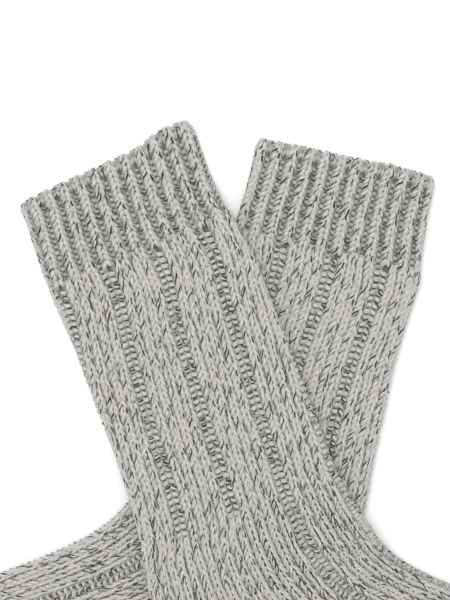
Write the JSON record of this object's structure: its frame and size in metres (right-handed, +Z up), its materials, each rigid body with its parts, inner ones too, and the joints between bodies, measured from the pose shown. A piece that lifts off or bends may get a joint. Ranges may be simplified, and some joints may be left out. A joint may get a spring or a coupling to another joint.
{
  "type": "pair of ribbed knit socks, laid flat and crossed",
  "caption": "Pair of chunky marled knit crew socks with ribbed cuffs and wide-ribbed legs, laid flat with one crossed over the other, mouths open and toes turned out.",
  "frame": {"origin": "centre of the pair's outline, on the surface that the socks lie on", "axes": "+Z up from the surface, through the cloth's thickness; +Y towards the cuffs, up the picture; +X to the right in the picture"},
  "size_m": [0.4059, 0.3462, 0.0143],
  "materials": {
    "back_sock_yarn": "matt light grey marled wool mix",
    "front_sock_yarn": "matt light grey marled wool mix"
  },
  "bodies": {
    "root": {"back_sock": "back_sock_yarn", "front_sock": "front_sock_yarn"}
  },
  "joints": []
}
